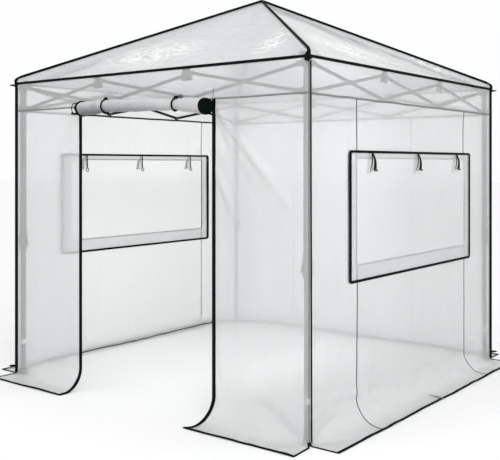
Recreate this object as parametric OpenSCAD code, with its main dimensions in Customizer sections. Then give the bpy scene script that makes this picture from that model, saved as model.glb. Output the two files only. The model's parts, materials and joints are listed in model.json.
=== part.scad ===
// Pop-up greenhouse: a folding steel frame with a fitted cover of see-through film.
// Millimetres. The origin is on the ground at the centre of the plan. The doorway faces -Y.

/* [Plan and heights] */
// Outside width and depth of the cover between its corner seams
tent_w = 2400; // [2000:50:3000]
// Height of the eave, where the roof film turns down
eave_h = 1985; // [1975:5:2200]
// Height of the roof's peak
apex_h = 2590; // [2500:10:2850]
// Height of the seam under the valance, which is also the top of the doorway
seam_h = 1800; // [1650:10:1830]

/* [Cover] */
// Thickness given to the film
film_t = 3; // [2:0.5:4]
// Width of the doorway
door_w = 1110; // [900:10:1300]
// How far the skirt reaches out over the ground
skirt_reach = 170; // [150:5:220]
// Radius of the bend from wall to skirt
skirt_bend = 140; // [100:5:145]
// Width of the edge binding tape
binding_w = 12; // [8:1:14]

/* [Windows] */
// Width of the flap that covers each side window
flap_w = 1616; // [1300:2:1700]
// Height of the flap's lower edge
flap_low = 787; // [700:1:900]
// Height of the flap's upper edge
flap_high = 1508; // [1400:1:1600]
// How far the flap overlaps the wall beside the window
flap_side_lap = 80; // [40:5:120]
// How far the flap overlaps the wall below the window
flap_low_lap = 94; // [60:2:120]
// How far the flap overlaps the wall above the window
flap_top_lap = 42; // [30:2:80]

/* [Frame] */
// Outside width of the square outer leg tube
leg_w = 30; // [28:1:32]
// Wall thickness of the leg tubes
tube_t = 1.5; // [1:0.25:2]
// Play between the inner and the outer leg tube, each side
leg_play = 1; // [0.5:0.25:1.5]
// Distance from the outer face of the film to the axis of a leg
leg_inset = 30; // [29:1:34]
// Height of the latch collar at the lower end of the outer leg
latch_h = 925; // [800:5:1000]
// Side of the square foot plate
foot_w = 62; // [50:1:70]
// Height of the truss's upper pivots
truss_high = 1958; // [1930:2:1958]
// Height of the truss's lower pivots
truss_low = 1816; // [1760:2:1850]
// Number of crossed pairs along each side
truss_bays = 3; // [2:1:4]
// Height of a truss bar's section
bar_h = 18; // [14:1:22]
// Thickness of a truss bar
bar_t = 8; // [6:0.5:9]

/* [Hidden] */

film_color = [0.88, 0.9, 0.9, 0.6];
steel_color = [0.14, 0.25, 0.23];
truss_color = [0.17, 0.24, 0.22];
binding_color = [0.04, 0.1, 0.08];
fitting_color = [0.17, 0.2, 0.19];
bracket_color = [0.25, 0.29, 0.28];
strap_color = [0.55, 0.57, 0.56];

half = tent_w / 2;
leg_at = half - leg_inset;
round_fn = 32;
rod_fn = 12;
// Extra length that takes a cut cleanly through a face.
over = 1;

// A sheet of film ends where the binding of its corner begins.
binding_r = binding_w / 2;
sheet_half = half - binding_w;
panel_inner = door_w / 2 + binding_w;

inner_w = leg_w - 2 * tube_t - 2 * leg_play;
leg_top = truss_high + 12;
foot_t = 4;
foot_socket_t = 4;
foot_socket_h = 34;
inner_top = latch_h + 260;

latch_w = leg_w + 8;
latch_drop = 70;
latch_lap = 36;
button_r = 9;
button_out = 8;

bracket_t = 5;
bracket_w = leg_w + 2 * bracket_t;
bracket_half_h = 22;
pivot_r = 7;
pivot_out = 3;
cheek_t = 3;
arm_w = 2 * (bar_t + pivot_out + cheek_t);
arm_root = 30;
arm_reach = 62;
arm_h = 28;

truss_half = leg_at - arm_reach + 14;
bay_w = 2 * truss_half / truss_bays;
bar_overlap = 0.5;

roof_rise = apex_h - eave_h;
roof_pitch = atan(roof_rise / half);
roof_slope = norm([half, roof_rise]);
hip_run = half * sqrt(2);
hip_length = norm([hip_run, roof_rise]);
hip_pitch = atan(roof_rise / hip_run);

rafter_w = 20;
rafter_drop = 24;
socket_w = 24;
bracket_socket_end = 100;
bracket_socket_start = 45;
hub_socket_r = 95;
hub_socket_l = 45;
hub_r = 60;
hub_h = 34;
hub_drop = 44;
hub_cone_r = 22;
hub_cone_h = 22;

hole_half = flap_w / 2 - flap_side_lap;
hole_low = flap_low + flap_low_lap;
hole_high = flap_high - flap_top_lap;
flap_trim_t = 6;

bend_steps = 12;
skirt_top = skirt_bend + film_t;

roll_half = door_w / 2 - 3;
roll_end_r = 48;
roll_mid_r = 40;
roll_out = 64;
roll_oval = 1.28;
roll_drop = 25;
roll_h = seam_h - roll_drop;
roll_steps = 12;
web_t = 5;
tie_w = 22;
tie_t = 2;
tie_at = 280;
tie_r = 44;
tie_back = roll_out - tie_r * roll_oval;
tie_up = 30;

strap_w = 60;
strap_h = 64;
strap_t = 2;
window_tie_at = 575;
window_tie_h = 92;
window_tie_w = 16;
loop_w = 24;
loop_t = 4;
loop_reach = 44;

// Turns its children from the front to side 0 (front), 1 (right), 2 (back) or 3 (left).
module side(index) {
    rotate([0, 0, 90 * index]) children();
}

// Stands its children on a leg's axis: 0 front right, 1 back right, 2 back left, 3 front left.
module corner(index) {
    side(index) translate([leg_at, -leg_at, 0]) children();
}

// Lays its children's +X along the front right hip, from the eave towards the peak.
module along_hip(drop) {
    translate([half, -half, eave_h - drop]) rotate([0, -hip_pitch, 135]) children();
}

// A square bar along +X, centred on the axis.
module square_bar(from_x, to_x, width, height) {
    translate([from_x, -width / 2, -height / 2]) cube([to_x - from_x, width, height]);
}

// A square tube standing on z = 0.
module square_tube(outer, wall, height) {
    bore = outer - 2 * wall;
    difference() {
        translate([-outer / 2, -outer / 2, 0]) cube([outer, outer, height]);
        translate([-bore / 2, -bore / 2, -over]) cube([bore, bore, height + 2 * over]);
    }
}

// A sheet of film on the front face, between two places along it and two heights.
module front_sheet(from_x, to_x, from_z, to_z, out = 0) {
    translate([from_x, -half - out, from_z]) cube([to_x - from_x, film_t, to_z - from_z]);
}

module outer_leg(index) {
    color(steel_color)
        corner(index)
            translate([0, 0, latch_h]) square_tube(leg_w, tube_t, leg_top - latch_h);
}

module inner_leg(index) {
    color(steel_color)
        corner(index) {
            translate([-foot_w / 2, -foot_w / 2, 0]) cube([foot_w, foot_w, foot_t]);
            translate([0, 0, foot_t]) {
                square_tube(inner_w, tube_t, inner_top - foot_t);
                square_tube(inner_w + 2 * foot_socket_t, foot_socket_t, foot_socket_h);
            }
        }
}

// A collar that closes the outer leg round the inner one, with its push button.
module leg_latches() {
    color(fitting_color)
        for (index = [0:3])
            corner(index) {
                translate([0, 0, latch_h]) square_tube(latch_w, (latch_w - leg_w) / 2, latch_lap);
                translate([0, 0, latch_h - latch_drop])
                    square_tube(latch_w, (latch_w - inner_w) / 2, latch_drop);
                translate([-latch_w / 2 - button_out, 0, latch_h - latch_drop / 2])
                    rotate([0, 90, 0]) cylinder(h = button_out, r = button_r, $fn = round_fn);
            }
}

// The fork that takes the end of a truss, pointing along -X from the leg's axis.
module bracket_arm(height) {
    translate([-arm_root, -arm_w / 2, height - arm_h / 2])
        cube([arm_root - leg_w / 2, arm_w, arm_h]);
    for (face = [-1, 1])
        translate([-arm_reach, face * (arm_w - cheek_t) / 2 - cheek_t / 2, height - arm_h / 2])
            cube([arm_reach - arm_root, cheek_t, arm_h]);
}

// A sleeve round the leg with one fork for the truss on each side of the corner.
module truss_bracket(height) {
    translate([0, 0, height - bracket_half_h]) square_tube(bracket_w, bracket_t, 2 * bracket_half_h);
    bracket_arm(height);
    rotate([0, 0, -90]) bracket_arm(height);
}

module top_brackets() {
    cap_z = leg_top;
    color(bracket_color)
        for (index = [0:3]) {
            corner(index) {
                truss_bracket(truss_high);
                translate([-bracket_w / 2, -bracket_w / 2, cap_z])
                    cube([bracket_w, bracket_w, truss_high + bracket_half_h - cap_z]);
            }
            side(index)
                along_hip(rafter_drop)
                    square_bar(bracket_socket_start, bracket_socket_end, socket_w, socket_w);
        }
}

module slider_brackets() {
    color(bracket_color)
        for (index = [0:3])
            corner(index) truss_bracket(truss_low);
}

// A truss bar in the front face, from one pivot to the next, on one of the two layers.
module truss_bar(from_x, to_x, from_z, to_z, layer) {
    span = norm([to_x - from_x, to_z - from_z]);
    layer_y = layer > 0 ? -bar_overlap / 2 : -bar_t;
    translate([from_x, 0, from_z])
        rotate([0, -atan2(to_z - from_z, to_x - from_x), 0])
            translate([-bar_h / 2, layer_y, -bar_h / 2])
                cube([span + bar_h, bar_t + bar_overlap / 2, bar_h]);
}

module truss_pivot(at_x, at_z) {
    translate([at_x, bar_t + pivot_out, at_z])
        rotate([90, 0, 0]) cylinder(h = 2 * (bar_t + pivot_out), r = pivot_r, $fn = round_fn);
}

module truss(index) {
    color(truss_color)
        side(index)
            translate([0, -leg_at, 0]) {
                for (bay = [0:truss_bays - 1]) {
                    from_x = -truss_half + bay * bay_w;
                    truss_bar(from_x, from_x + bay_w, truss_high, truss_low, -1);
                    truss_bar(from_x, from_x + bay_w, truss_low, truss_high, 1);
                    truss_pivot(from_x + bay_w / 2, (truss_high + truss_low) / 2);
                }
                for (joint = [0:truss_bays], at_z = [truss_low, truss_high])
                    truss_pivot(-truss_half + joint * bay_w, at_z);
            }
}

module roof_hub() {
    hub_top = apex_h - hub_drop;
    socket_end = (hip_run - hub_socket_r) / cos(hip_pitch);
    color(bracket_color) {
        translate([0, 0, hub_top - hub_h]) cylinder(h = hub_h, r = hub_r, $fn = round_fn);
        translate([0, 0, hub_top])
            cylinder(h = hub_cone_h, r1 = hub_r, r2 = hub_cone_r, $fn = round_fn);
        for (index = [0:3])
            side(index)
                along_hip(rafter_drop)
                    square_bar(socket_end, socket_end + hub_socket_l, socket_w, socket_w);
    }
}

module roof_rafters() {
    rafter_end = (hip_run - hub_socket_r) / cos(hip_pitch);
    color(truss_color)
        for (index = [0:3])
            side(index)
                along_hip(rafter_drop)
                    square_bar(bracket_socket_end, rafter_end, rafter_w, rafter_w);
}

// A triangle of film that ends short of both hips, under their binding.
module roof_sheet(index) {
    edge_inset = binding_r * norm([half, roof_slope]) / roof_slope;
    color(film_color)
        side(index)
            translate([0, -half, eave_h])
                rotate([roof_pitch, 0, 0])
                    translate([0, 0, -film_t])
                        linear_extrude(height = film_t)
                            polygon([[edge_inset - half, 0], [half - edge_inset, 0],
                                [0, roof_slope * (1 - edge_inset / half)]]);
}

// The band under the eave that hides the trusses.
module valance() {
    color(film_color)
        for (index = [0:3])
            side(index)
                front_sheet(-sheet_half, sheet_half, seam_h, eave_h - film_t / cos(roof_pitch));
}

// The part of the front wall on one side of the doorway: 1 is the right, -1 the left.
module front_panel(hand) {
    color(film_color)
        mirror([hand < 0 ? 1 : 0, 0, 0]) front_sheet(panel_inner, sheet_half, skirt_top, seam_h);
}

module window_wall(index) {
    color(film_color)
        side(index)
            difference() {
                front_sheet(-sheet_half, sheet_half, skirt_top, seam_h);
                translate([-hole_half, -half - over, hole_low])
                    cube([2 * hole_half, film_t + 2 * over, hole_high - hole_low]);
            }
}

module back_wall() {
    color(film_color) side(2) front_sheet(-sheet_half, sheet_half, skirt_top, seam_h);
}

// The wall's foot bends outwards into a strip that lies on the ground.
module front_skirt(from_x, to_x) {
    bend_y = -half - skirt_bend;
    outer = [for (step = [0:bend_steps])
        let (turn = 90 * step / bend_steps)
        [bend_y + skirt_bend * cos(turn), skirt_top - skirt_bend * sin(turn)]];
    inner = [for (step = [bend_steps:-1:0])
        let (turn = 90 * step / bend_steps)
        [bend_y + skirt_top * cos(turn), skirt_top - skirt_top * sin(turn)]];
    edge = [[-half - skirt_reach, film_t], [-half - skirt_reach, 0]];
    translate([from_x, 0, 0])
        rotate([90, 0, 90])
            linear_extrude(height = to_x - from_x) polygon(concat(outer, edge, inner));
}

module half_skirt(hand) {
    color(film_color) mirror([hand < 0 ? 1 : 0, 0, 0]) front_skirt(door_w / 2, sheet_half);
}

module full_skirt(index) {
    color(film_color) side(index) front_skirt(-sheet_half, sheet_half);
}

module window_flap(index) {
    color(film_color) side(index) front_sheet(-flap_w / 2, flap_w / 2, flap_low, flap_high, film_t);
}

// Radius of the rolled door at a place along it: it is thinner in the middle.
function roll_r(at_x) = roll_mid_r + (roll_end_r - roll_mid_r) * pow(at_x / roll_half, 2);

// The door flap rolled up flat-sided under the valance, with the film that it hangs from.
module door_roll() {
    outline = [for (step = [0:roll_steps])
        let (at_x = -roll_half + 2 * roll_half * step / roll_steps)
        [roll_r(at_x), at_x]];
    web_low = roll_h + roll_mid_r - web_t;
    color(film_color) {
        translate([0, -half - roll_out, roll_h])
            scale([1, roll_oval, 1])
                rotate([0, 90, 0])
                    rotate_extrude($fn = round_fn)
                        polygon(concat([[0, -roll_half]], outline, [[0, roll_half]]));
        translate([-roll_half, 0, 0])
            rotate([90, 0, 90])
                linear_extrude(height = 2 * roll_half)
                    polygon([[-half, seam_h], [-half - roll_out, web_low + web_t],
                        [-half - roll_out, web_low], [-half, seam_h - web_t]]);
    }
}

// Two straps that come down from the valance and go round the rolled door.
module door_roll_ties() {
    color(binding_color)
        for (at_x = [-tie_at, tie_at])
            translate([at_x - tie_w / 2, -half, roll_h]) {
                translate([0, -roll_out, 0])
                    scale([1, roll_oval, 1])
                        rotate([0, 90, 0])
                            difference() {
                                cylinder(h = tie_w, r = tie_r + tie_t, $fn = round_fn);
                                translate([0, 0, -over])
                                    cylinder(h = tie_w + 2 * over, r = tie_r, $fn = round_fn);
                            }
                translate([0, -tie_t, roll_end_r]) cube([tie_w, tie_t, tie_up]);
                translate([0, -tie_back, roll_end_r - tie_t]) cube([tie_w, tie_back, tie_t]);
                translate([0, -tie_back, 0]) cube([tie_w, tie_t, roll_end_r]);
            }
}

// Three short straps on the outside of each window flap and three inside the wall above it.
module window_ties() {
    tie_z = flap_high - window_tie_h;
    color(binding_color)
        for (index = [1, 3], at_x = [-window_tie_at, 0, window_tie_at])
            side(index)
                translate([at_x - window_tie_w / 2, 0, tie_z]) {
                    translate([0, -half - film_t - tie_t, 0])
                        cube([window_tie_w, tie_t, window_tie_h]);
                    translate([0, film_t - half, 0]) cube([window_tie_w, tie_t, window_tie_h]);
                }
}

// Tape along the four hips and the four eaves.
module roof_binding() {
    color(binding_color)
        for (index = [0:3])
            side(index) {
                along_hip(0)
                    rotate([0, 90, 0]) cylinder(h = hip_length, r = binding_r, $fn = rod_fn);
                translate([-sheet_half, -half - binding_r, eave_h - binding_r])
                    rotate([0, 90, 0])
                        cylinder(h = 2 * sheet_half, r = binding_r, $fn = rod_fn);
            }
}

module corner_binding() {
    color(binding_color)
        for (index = [0:3])
            side(index)
                translate([sheet_half, -half, skirt_bend / 4])
                    cube([binding_w, binding_w, eave_h - binding_w - skirt_bend / 4]);
}

module doorway_binding() {
    color(binding_color)
        for (hand = [0, 1])
            mirror([hand, 0, 0])
                translate([door_w / 2, -half - film_t, skirt_top])
                    cube([binding_w, 3 * film_t, seam_h - skirt_top]);
}

// Tape round the four edges of each window flap.
module flap_binding() {
    trim_y = -half - flap_trim_t;
    full_w = flap_w + 2 * binding_w;
    color(binding_color)
        for (index = [1, 3])
            side(index) {
                for (at_x = [-full_w / 2, flap_w / 2])
                    translate([at_x, trim_y, flap_low - binding_w])
                        cube([binding_w, flap_trim_t, flap_high - flap_low + 2 * binding_w]);
                for (at_z = [flap_low - binding_w, flap_high])
                    translate([-full_w / 2, trim_y, at_z])
                        cube([full_w, flap_trim_t, binding_w]);
            }
}

// Tape along the outer edge of every skirt.
module skirt_rod(from_x, to_x) {
    translate([from_x, -half - skirt_reach - binding_r, binding_r])
        rotate([0, 90, 0]) cylinder(h = to_x - from_x, r = binding_r, $fn = rod_fn);
}

module skirt_binding() {
    color(binding_color) {
        for (index = [1:3])
            side(index) skirt_rod(-sheet_half, sheet_half);
        for (hand = [0, 1])
            mirror([hand, 0, 0]) skirt_rod(door_w / 2, sheet_half);
    }
}

// Straps that hang inside the eave at the upper pivots of the trusses.
module truss_straps() {
    color(strap_color)
        for (index = [0:3], joint = [1:truss_bays - 1])
            side(index)
                translate([joint * bay_w - truss_half - strap_w / 2, film_t - half,
                    eave_h - 2 * film_t - strap_h])
                    cube([strap_w, strap_t, strap_h]);
}

// Flat loops for guy ropes at the eave's corners and for ground pegs beside the legs.
module guy_loops() {
    color(binding_color)
        for (index = [0:3], loop_z = [eave_h - 3 * binding_w, skirt_bend / 2])
            side(index)
                translate([half, -half, loop_z])
                    rotate([0, 0, -45]) translate([0, -loop_w / 2, 0])
                        cube([loop_reach, loop_w, loop_t]);
}

outer_leg(0);  // leg_front_right
outer_leg(1);  // leg_back_right
outer_leg(2);  // leg_back_left
outer_leg(3);  // leg_front_left
inner_leg(0);  // inner_leg_front_right
inner_leg(1);  // inner_leg_back_right
inner_leg(2);  // inner_leg_back_left
inner_leg(3);  // inner_leg_front_left
leg_latches();
top_brackets();
slider_brackets();
truss(0);  // truss_front
truss(1);  // truss_right
truss(2);  // truss_back
truss(3);  // truss_left
roof_hub();
roof_rafters();
roof_sheet(0);  // roof_front
roof_sheet(1);  // roof_right
roof_sheet(2);  // roof_back
roof_sheet(3);  // roof_left
valance();
front_panel(1);  // front_panel_right
front_panel(-1);  // front_panel_left
window_wall(1);  // right_wall
back_wall();
window_wall(3);  // left_wall
half_skirt(1);  // front_skirt_right
half_skirt(-1);  // front_skirt_left
full_skirt(1);  // right_skirt
full_skirt(2);  // back_skirt
full_skirt(3);  // left_skirt
window_flap(1);  // window_flap_right
window_flap(3);  // window_flap_left
door_roll();
door_roll_ties();
window_ties();
roof_binding();
corner_binding();
doorway_binding();
flap_binding();
skirt_binding();
truss_straps();
guy_loops();
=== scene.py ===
import json
import math
from functools import partial

import bpy
import numpy as np
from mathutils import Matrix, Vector

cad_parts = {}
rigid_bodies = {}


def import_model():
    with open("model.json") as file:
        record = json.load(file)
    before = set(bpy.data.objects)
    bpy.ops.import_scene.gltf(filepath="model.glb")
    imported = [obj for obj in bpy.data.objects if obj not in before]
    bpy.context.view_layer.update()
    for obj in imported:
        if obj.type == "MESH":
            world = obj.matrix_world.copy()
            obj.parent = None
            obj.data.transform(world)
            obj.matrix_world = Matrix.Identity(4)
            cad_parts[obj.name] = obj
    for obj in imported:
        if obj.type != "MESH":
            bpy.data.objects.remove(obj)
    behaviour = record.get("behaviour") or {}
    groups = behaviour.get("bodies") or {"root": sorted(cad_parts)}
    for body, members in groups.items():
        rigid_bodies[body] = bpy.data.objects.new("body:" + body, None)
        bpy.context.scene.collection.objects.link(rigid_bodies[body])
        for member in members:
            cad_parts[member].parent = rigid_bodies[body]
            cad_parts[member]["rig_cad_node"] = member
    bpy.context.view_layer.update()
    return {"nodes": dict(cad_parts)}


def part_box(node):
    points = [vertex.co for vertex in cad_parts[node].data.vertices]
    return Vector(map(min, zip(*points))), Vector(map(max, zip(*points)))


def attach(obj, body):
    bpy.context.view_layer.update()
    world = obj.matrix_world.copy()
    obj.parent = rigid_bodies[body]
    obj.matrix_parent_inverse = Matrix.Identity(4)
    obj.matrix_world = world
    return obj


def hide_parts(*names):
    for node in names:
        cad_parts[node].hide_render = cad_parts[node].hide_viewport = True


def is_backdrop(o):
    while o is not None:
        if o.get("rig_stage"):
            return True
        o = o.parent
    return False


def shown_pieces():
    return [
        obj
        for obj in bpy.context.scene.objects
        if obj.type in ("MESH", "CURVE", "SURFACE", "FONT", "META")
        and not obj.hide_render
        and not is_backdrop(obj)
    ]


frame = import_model()
print("frame loaded:", len(frame["nodes"]), "CAD nodes")

# Sizes read from the frame. Metres, origin on the ground, doorway towards -Y.
cadFilm = 0.003  # thickness of the CAD sheets
peakRise = 0.022  # from the hub's top to the roof's peak
doorShift = 0.022  # the left door edge stands this much further in
barTip = 0.0105  # from a truss's outer pivot to the end of its box
trussLowest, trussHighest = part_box("truss_front")
half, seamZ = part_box("valance")[1].x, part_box("valance")[0].z
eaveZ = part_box("roof_front")[0].z + cadFilm
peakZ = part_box("roof_hub")[1].z + peakRise
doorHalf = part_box("front_skirt_right")[0].x
doorLeft = -doorHalf + doorShift
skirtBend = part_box("right_skirt")[1].z
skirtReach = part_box("right_skirt")[1].x - half
flapLow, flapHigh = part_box("window_flap_right")
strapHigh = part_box("truss_straps")[1].z
trussHalf, trussHigh = trussHighest.x - barTip, trussHighest.z - barTip
trussLow = trussLowest.z + barTip
trussY = (trussLowest.y + trussHighest.y) / 2
legAt = sum(corner.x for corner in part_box("leg_front_right")) / 2
bayCount = 3
bayWidth = 2 * trussHalf / bayCount
sideNames = ("Front", "Right", "Back", "Left")
up = np.array((0.0, 0.0, 1.0))


def smooth(x):
    x = np.clip(x, 0, 1)
    return x * x * (3 - 2 * x)


def unit(vectors):
    return vectors / (np.linalg.norm(vectors, axis=-1, keepdims=True) + 1e-12)


def turned(points, side):
    # from the front wall to side 0 front, 1 right, 2 back, 3 left
    points = np.asarray(points, float)
    x, y, z = points[..., 0], points[..., 1], points[..., 2]
    pairs = ((x, y), (-y, x), (-x, -y), (y, -x))
    return np.stack((*pairs[side], z), -1)


def onFront(x, out, z):
    # points that stand this far out from the front wall
    return np.stack(np.broadcast_arrays(x, -half - np.asarray(out), z), -1)


def stops(places, step):
    # evenly spaced values that also hit every given place
    runs = [np.linspace(a, b, max(1, round(abs(b - a) / step)) + 1)[:-1] for a, b in zip(places, places[1:])]
    return np.concatenate(runs + [[places[-1]]])


def softNoise(u, v, cellU, cellV, seed):
    # value noise from -1 to 1, the same on every run
    table = np.random.default_rng(seed).uniform(-1, 1, (61, 67))
    x, y = np.asarray(u) / cellU + 400.0, np.asarray(v) / cellV + 400.0
    i, j = np.floor(x).astype(int), np.floor(y).astype(int)
    a, b = smooth(x - i), smooth(y - j)
    at = lambda di, dj: table[(i + di) % 61, (j + dj) % 67]
    low = at(0, 0) * (1 - a) + at(1, 0) * a
    high = at(0, 1) * (1 - a) + at(1, 1) * a
    return low * (1 - b) + high * b


def waves(u, v, form, seed):
    # soft noise; form is its height and its size along u and v
    height, cellU, cellV = form
    return height * softNoise(u, v, cellU, cellV, seed)


def creases(u, v, form, seed, level=0.0):
    # sharp-edged wrinkles above a level from 0 to 1; form is their height, size and lean in degrees
    height, cell, lean = form
    a = math.radians(lean)
    x, y = u * math.cos(a) + v * math.sin(a), v * math.cos(a) - u * math.sin(a)
    bend = 0.35 * cell * softNoise(u, v, cell, cell, seed + 9)
    one = 1 - np.abs(softNoise(x + bend, y, cell * 2.6, cell, seed))
    two = 1 - np.abs(softNoise(x, y + bend, cell * 1.2, cell * 0.55, seed + 1))
    return height * (0.65 * one + 0.35 * two - level)


def foldLine(u, v, start, end, height, width, curve):
    # one long soft fold from start to end, dying out towards its end
    (u0, v0), (u1, v1) = start, end
    length = math.hypot(u1 - u0, v1 - v0)
    du, dv = (u1 - u0) / length, (v1 - v0) / length
    along = ((u - u0) * du + (v - v0) * dv) / length
    aside = (u - u0) * dv - (v - v0) * du + curve * along * (1 - along)
    spread = width * (0.45 + 0.9 * np.clip(along, 0, 1))
    fade = smooth((along + 0.04) / 0.1) * (1 - smooth((along - 0.45) / 0.6))
    return height * fade * np.exp(-((aside / spread) ** 2))


def joined(parts):
    # several (points, faces, uvs) as one
    points, faces, uvs, first = [], [], [], 0
    for p, f, t in parts:
        points.append(np.asarray(p, float).reshape(-1, 3))
        uvs.append(np.asarray(t, float).reshape(-1, 2))
        faces += [[i + first for i in face] for face in f]
        first += len(points[-1])
    return np.concatenate(points), faces, np.concatenate(uvs)


def makePiece(name, shape, material, nodes=()):
    points, faces, uvs = shape
    mesh = bpy.data.meshes.new(name)
    mesh.from_pydata(points.tolist(), [], faces)
    layer = mesh.uv_layers.new(name="cloth")
    corners = np.zeros(len(mesh.loops), np.int32)
    mesh.loops.foreach_get("vertex_index", corners)
    layer.data.foreach_set("uv", uvs[corners].astype(np.float32).ravel())
    mesh.polygons.foreach_set("use_smooth", np.ones(len(mesh.polygons), bool))
    mesh.materials.append(material)
    piece = bpy.data.objects.new(name, mesh)
    bpy.context.scene.collection.objects.link(piece)
    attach(piece, "root")
    if nodes:
        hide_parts(*nodes)
    return piece


def sheetShape(grid, uvGrid, thickness, keep=None):
    # a closed thin sheet on a grid of points, with the cells where keep is False left out
    rows, cols = grid.shape[:2]
    normals = unit(np.cross(np.gradient(grid, axis=0), np.gradient(grid, axis=1)))
    front, back = grid + normals * thickness / 2, grid - normals * thickness / 2
    if keep is None:
        keep = np.ones((rows - 1, cols - 1), bool)
    index = np.arange(rows * cols).reshape(rows, cols)
    corner = [index[:-1, :-1], index[1:, :-1], index[1:, 1:], index[:-1, 1:]]
    under = rows * cols
    quads = [np.stack(corner, -1)[keep], np.stack(corner[::-1], -1)[keep] + under]
    padded = np.pad(keep, 1)
    beyond = [padded[1:-1, :-2], padded[2:, 1:-1], padded[1:-1, 2:], padded[:-2, 1:-1]]
    for edge in range(4):
        bare = keep & ~beyond[edge]
        a, b = corner[edge][bare], corner[(edge + 1) % 4][bare]
        quads.append(np.stack((b, a, a + under, b + under), -1))
    used, faces = np.unique(np.concatenate(quads), return_inverse=True)
    points = np.concatenate((front.reshape(-1, 3), back.reshape(-1, 3)))[used]
    uvs = np.concatenate((uvGrid.reshape(-1, 2),) * 2)[used]
    return points, faces.reshape(-1, 4).tolist(), uvs


def bandFaces(here, ahead):
    # the faces between rings of point numbers and the next rings
    return np.stack((here, np.roll(here, -1, 1), np.roll(ahead, -1, 1), ahead), -1).reshape(-1, 4).tolist()


def tubeShape(path, across, width, thick, sides=8, square=0.55, closed=False):
    # a strap, tape or cord along a path; across is the direction of its width
    path = np.asarray(path, float)
    around = np.roll(path, -1, 0) - np.roll(path, 1, 0) if closed else np.gradient(path, axis=0)
    tangent = unit(around)
    normal = unit(np.cross(tangent, np.broadcast_to(np.asarray(across, float), path.shape)))
    across = np.cross(normal, tangent)
    turn = np.arange(sides) / sides * 2 * math.pi + math.pi / sides
    c, s = np.cos(turn), np.sin(turn)
    ringX = np.sign(c) * np.abs(c) ** square * np.reshape(width, (-1, 1)) / 2
    ringY = np.sign(s) * np.abs(s) ** square * np.reshape(thick, (-1, 1)) / 2
    points = path[:, None] + across[:, None] * ringX[..., None] + normal[:, None] * ringY[..., None]
    index = np.arange(len(path) * sides).reshape(-1, sides)
    if closed:
        faces = bandFaces(index, np.roll(index, -1, 0))
    else:
        faces = bandFaces(index[:-1], index[1:]) + [index[0][::-1].tolist(), index[-1].tolist()]
    length = np.concatenate(([0], np.cumsum(np.linalg.norm(np.diff(path, axis=0), axis=1))))
    size = float(np.mean(width))
    uvs = np.stack(np.broadcast_arrays(length[:, None], (ringX / (np.abs(ringX).max() + 1e-9) + 1) / 2 * size), -1)
    return points.reshape(-1, 3), faces, uvs.reshape(-1, 2)


def strapOn(side, path, width, thick, across=(1, 0, 0), **form):
    # a strap drawn on the front wall and turned to its own side
    return tubeShape(turned(path, side), turned(across, side), width, thick, **form)


def latheShape(profile, centre, axis, steps=20):
    # profile is (radius, height) from end to end, turned about an axis
    axis = unit(np.asarray(axis, float))
    side = unit(np.cross(axis, (1, 0, 0) if abs(axis[0]) < 0.9 else (0, 1, 0)))
    turn = np.arange(steps) / steps * 2 * math.pi
    ring = np.cos(turn)[:, None] * side + np.sin(turn)[:, None] * np.cross(axis, side)
    points = np.concatenate([np.asarray(centre) + r * ring + h * axis for r, h in profile])
    index = np.arange(len(points)).reshape(-1, steps)
    faces = bandFaces(index[:-1], index[1:]) + [index[0][::-1].tolist(), index[-1].tolist()]
    return points, faces, points[:, :2]


def spoolProfile(tip, rim, waist):
    # the same at both ends: tip and rim are (radius, height), and waist is the middle radius
    return [(tip[0], -tip[1]), (rim[0], -rim[1]), (waist, 0.0), rim, tip]


def ringShape(centre, radius, wire, axis, stretch=1.0):
    # a closed ring of wire or cord, stretched along Z for a loop
    axis = unit(np.asarray(axis, float))
    side = unit(np.cross(axis, up))
    turn = np.arange(18)[:, None] / 18 * 2 * math.pi
    path = np.asarray(centre) + radius * (np.cos(turn) * side + stretch * np.sin(turn) * np.cross(axis, side))
    return tubeShape(path, axis, wire, wire, 6, 1.0, True)


def curveThrough(points, steps=8):
    # a smooth path through a few points
    p = np.asarray(points, float)
    p = np.concatenate(([2 * p[0] - p[1]], p, [2 * p[-1] - p[-2]]))
    t = np.linspace(0, 1, steps, endpoint=False)[:, None]
    runs = []
    for a, b, c, d in zip(p, p[1:], p[2:], p[3:]):
        runs.append(0.5 * (2 * b + (c - a) * t + (2 * a - 5 * b + 4 * c - d) * t ** 2
                           + (3 * b - a - 3 * c + d) * t ** 3))
    return np.concatenate(runs + [p[-2:-1]])


def newGroup(name, inputs, outputs):
    # an input with no value is a vector, and every other socket is a number
    group = bpy.data.node_groups.new(name, "ShaderNodeTree")
    for label, value in inputs.items():
        kind = "NodeSocketVector" if value is None else "NodeSocketFloat"
        socket = group.interface.new_socket(name=label, in_out="INPUT", socket_type=kind)
        if value is not None:
            socket.default_value = value
    for label in outputs:
        group.interface.new_socket(name=label, in_out="OUTPUT", socket_type="NodeSocketFloat")
    return group, group.nodes.new("NodeGroupInput").outputs, partial(mathNode, group)


def closeGroup(group, **results):
    out = group.nodes.new("NodeGroupOutput")
    for label, value in results.items():
        group.links.new(value, out.inputs[label])
    return group


def mathNode(tree, kind, a, b=None, maker="ShaderNodeMath"):
    node = tree.nodes.new(maker)
    node.operation = kind
    for slot, value in enumerate((a, b)):
        if isinstance(value, (int, float)):
            node.inputs[slot].default_value = value
        elif value is not None:
            tree.links.new(value, node.inputs[slot])
    return node.outputs["Value"] if kind == "LENGTH" else node.outputs[0]


def clamped(tree, value):
    return mathNode(tree, "MAXIMUM", mathNode(tree, "MINIMUM", value, 1.0), 0.0)


def splitAxes(tree, vector):
    node = tree.nodes.new("ShaderNodeSeparateXYZ")
    tree.links.new(vector, node.inputs[0])
    return node.outputs


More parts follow.
